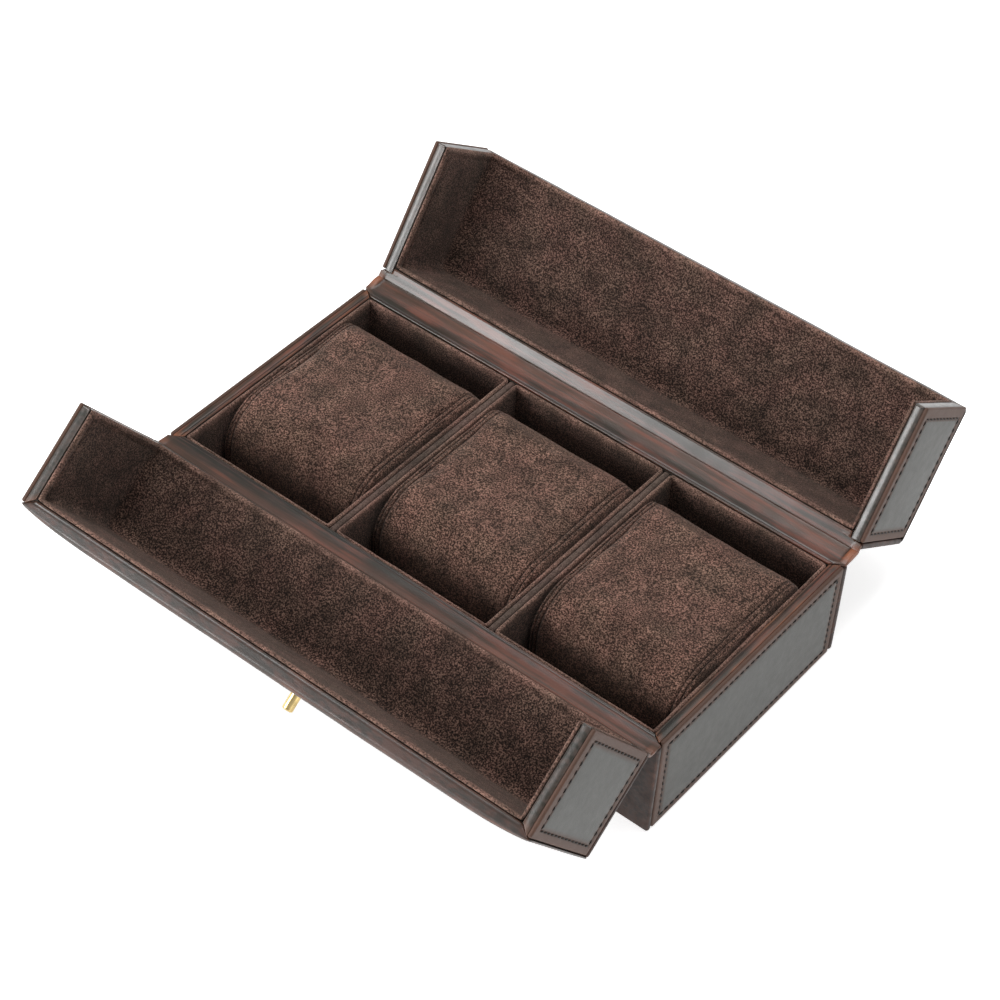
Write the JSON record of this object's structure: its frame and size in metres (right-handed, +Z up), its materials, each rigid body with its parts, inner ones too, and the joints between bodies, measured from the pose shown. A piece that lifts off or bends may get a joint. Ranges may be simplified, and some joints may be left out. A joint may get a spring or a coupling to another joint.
{
  "type": "watch box",
  "caption": "Leather-covered box with suede-lined bays, lift-out watch cushions and split half lids that swing open from the centre.",
  "frame": {"origin": "centre of the tray's underside, on the surface that the box stands on", "axes": "+X along the box to the right as seen from the front, +Y towards the rear lid, +Z up"},
  "size_m": [0.28, 0.3247, 0.1162],
  "materials": {
    "leather": "satin",
    "panel_leather": "satin",
    "suede": "matte",
    "board": "matte",
    "foam": "matte",
    "brass": "polished",
    "magnet": "satin"
  },
  "bodies": {
    "tray": {"base_board": "board", "underside_leather": "leather", "floor_lining": "suede", "front_wall_board": "board", "rear_wall_board": "board", "left_wall_board": "board", "right_wall_board": "board", "front_cover": "leather", "rear_cover": "leather", "left_end_panel": "panel_leather", "right_end_panel": "panel_leather", "left_rim": "leather", "right_rim": "leather", "left_divider": "suede", "right_divider": "suede", "left_bay_liner": "suede", "middle_bay_liner": "suede", "right_bay_liner": "suede", "front_hinge_leather": "leather", "rear_hinge_leather": "leather"},
    "front_lid": {"front_lid_wall_board": "board", "front_lid_top_board": "board", "front_lid_left_end_board": "board", "front_lid_right_end_board": "board", "front_lid_wall_cover": "leather", "front_lid_top_cover": "leather", "front_lid_left_end_panel": "panel_leather", "front_lid_right_end_panel": "panel_leather", "front_lid_rim": "leather", "front_lid_wall_lining": "suede", "front_lid_top_lining": "suede", "front_lid_left_lining": "suede", "front_lid_right_lining": "suede", "front_lid_magnets": "magnet", "pull_stud": "brass", "stud_screw": "brass"},
    "rear_lid": {"rear_lid_wall_board": "board", "rear_lid_top_board": "board", "rear_lid_left_end_board": "board", "rear_lid_right_end_board": "board", "rear_lid_wall_cover": "leather", "rear_lid_top_cover": "leather", "rear_lid_left_end_panel": "panel_leather", "rear_lid_right_end_panel": "panel_leather", "rear_lid_rim": "leather", "rear_lid_wall_lining": "suede", "rear_lid_top_lining": "suede", "rear_lid_left_lining": "suede", "rear_lid_right_lining": "suede", "rear_lid_magnets": "magnet"},
    "left_cushion": {"left_cushion_cover": "suede", "left_cushion_foam": "foam"},
    "middle_cushion": {"middle_cushion_cover": "suede", "middle_cushion_foam": "foam"},
    "right_cushion": {"right_cushion_cover": "suede", "right_cushion_foam": "foam"}
  },
  "joints": [
    {"name": "front_lid_hinge", "type": "hinge", "parent": "tray", "child": "front_lid", "pos_m": [0, -0.0739, 0.05555], "axis": [-1, 0, 0], "range_deg": [0, 128.9], "deforming": ["front_hinge_leather"]},
    {"name": "rear_lid_hinge", "type": "hinge", "parent": "tray", "child": "rear_lid", "pos_m": [0, 0.0753, 0.055], "axis": [1, 0, 0], "range_deg": [0, 124.3], "deforming": ["rear_hinge_leather"]},
    {"name": "left_cushion_lift", "type": "slide", "parent": "tray", "child": "left_cushion", "axis": [0, 0, 1], "range_m": [0, 0.04]},
    {"name": "middle_cushion_lift", "type": "slide", "parent": "tray", "child": "middle_cushion", "axis": [0, 0, 1], "range_m": [0, 0.04]},
    {"name": "right_cushion_lift", "type": "slide", "parent": "tray", "child": "right_cushion", "axis": [0, 0, 1], "range_m": [0, 0.04]}
  ]
}
